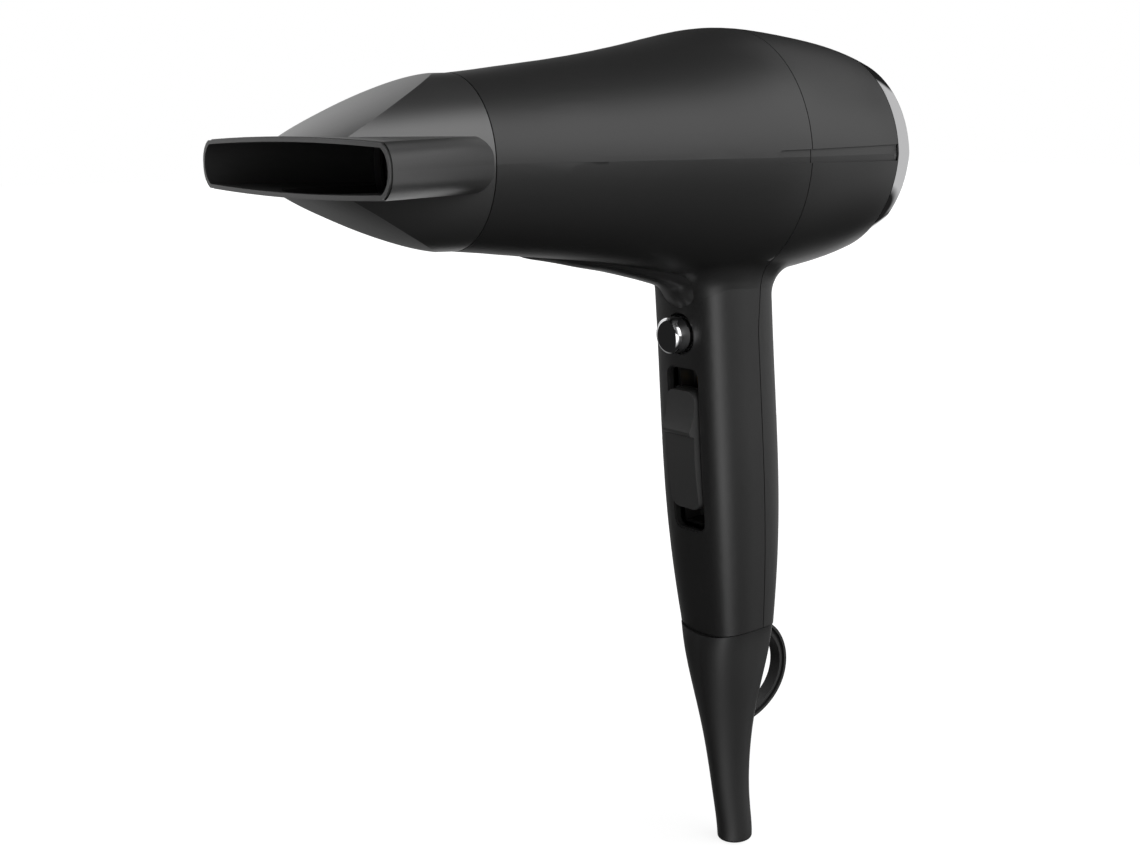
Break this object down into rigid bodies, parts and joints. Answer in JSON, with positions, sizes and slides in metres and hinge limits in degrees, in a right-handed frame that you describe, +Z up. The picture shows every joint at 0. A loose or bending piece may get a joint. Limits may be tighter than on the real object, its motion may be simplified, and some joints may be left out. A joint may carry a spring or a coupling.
{
  "type": "hair dryer",
  "caption": "Pistol-grip hair dryer with a flat flared concentrator nozzle, slide switch, cool-shot button, rear filter cap and hanging loop.",
  "frame": {"origin": "centre of the hand grip, on the grip's axis", "axes": "+X along the barrel to the nozzle, +Z up, +Y to the dryer's left"},
  "size_m": [0.2058, 0.112, 0.2767],
  "materials": {
    "soft_black": "matte soft-touch black",
    "nozzle_black": "satin black, fine grain",
    "rubber_black": "matte black rubber",
    "slider_grey": "satin dark grey",
    "bright_chrome": "polished",
    "grille_black": "matte black",
    "mesh_steel": "fine mesh",
    "gloss_black": "glossy black",
    "inner_plastic": "plain grey",
    "fan_plastic": "satin",
    "mica": "mica sheet",
    "coil_wire": "drawn resistance wire",
    "steel": "plated",
    "brass": "plain",
    "copper": "enamelled",
    "ferrite": "dull",
    "board": "laminate",
    "lead_sleeve": "insulated lead"
  },
  "bodies": {
    "housing": {"front_housing": "soft_black", "rear_housing": "soft_black", "cord_boot": "rubber_black", "outlet_grille": "grille_black", "heater_tube": "mica", "mica_plate_upright": "mica", "mica_plate_flat": "mica", "heating_coil_rear": "coil_wire", "heating_coil_front": "coil_wire", "thermostat": "steel", "thermal_fuse": "steel", "fan_duct": "inner_plastic", "duct_screws": "steel", "motor_can": "steel", "motor_end_cap": "inner_plastic", "motor_bushes": "brass", "motor_magnets": "ferrite", "rectifier_board": "board", "rectifier_diodes": "gloss_black", "switch_frame": "inner_plastic", "switch_contacts": "brass", "detent_spring": "steel", "cool_switch": "gloss_black", "switch_leads": "lead_sleeve", "cord_clamp": "inner_plastic", "clamp_screws": "steel"},
    "nozzle_clip": {"nozzle_clip_ring": "inner_plastic"},
    "nozzle": {"nozzle_shell": "nozzle_black", "nozzle_liner": "nozzle_black"},
    "filter_cap": {"rear_trim_ring": "bright_chrome", "inlet_grille": "grille_black", "filter_mesh": "mesh_steel"},
    "cool_shot": {"cool_button": "bright_chrome", "cool_plunger": "inner_plastic", "cool_spring": "steel"},
    "slider": {"power_slider": "slider_grey", "slider_carriage": "inner_plastic"},
    "fan": {"fan_impeller": "fan_plastic", "fan_nut": "brass", "motor_shaft": "steel", "armature": "steel", "armature_windings": "copper", "commutator": "copper"}
  },
  "joints": [
    {"name": "nozzle_swivel", "type": "hinge", "parent": "housing", "child": "nozzle_clip", "pos_m": [0.107, 0, 0.099], "axis": [1, 0, 0], "continuous": true},
    {"name": "nozzle_pull", "type": "slide", "parent": "nozzle_clip", "child": "nozzle", "axis": [1, 0, 0], "range_m": [0, 0.013]},
    {"name": "filter_pull", "type": "slide", "parent": "housing", "child": "filter_cap", "axis": [-1, 0, 0], "range_m": [0, 0.012]},
    {"name": "cool_press", "type": "slide", "parent": "housing", "child": "cool_shot", "axis": [-0.9979, 0, 0.0649], "range_m": [0, 0.0022], "stiffness_N_per_m": 400, "springref_m": -0.002},
    {"name": "power_slide", "type": "slide", "parent": "housing", "child": "slider", "axis": [0.0649, 0, 0.9979], "range_m": [-0.0067, 0.0067]},
    {"name": "fan_spin", "type": "hinge", "parent": "housing", "child": "fan", "pos_m": [-0.02, 0, 0.099], "axis": [1, 0, 0], "continuous": true}
  ]
}
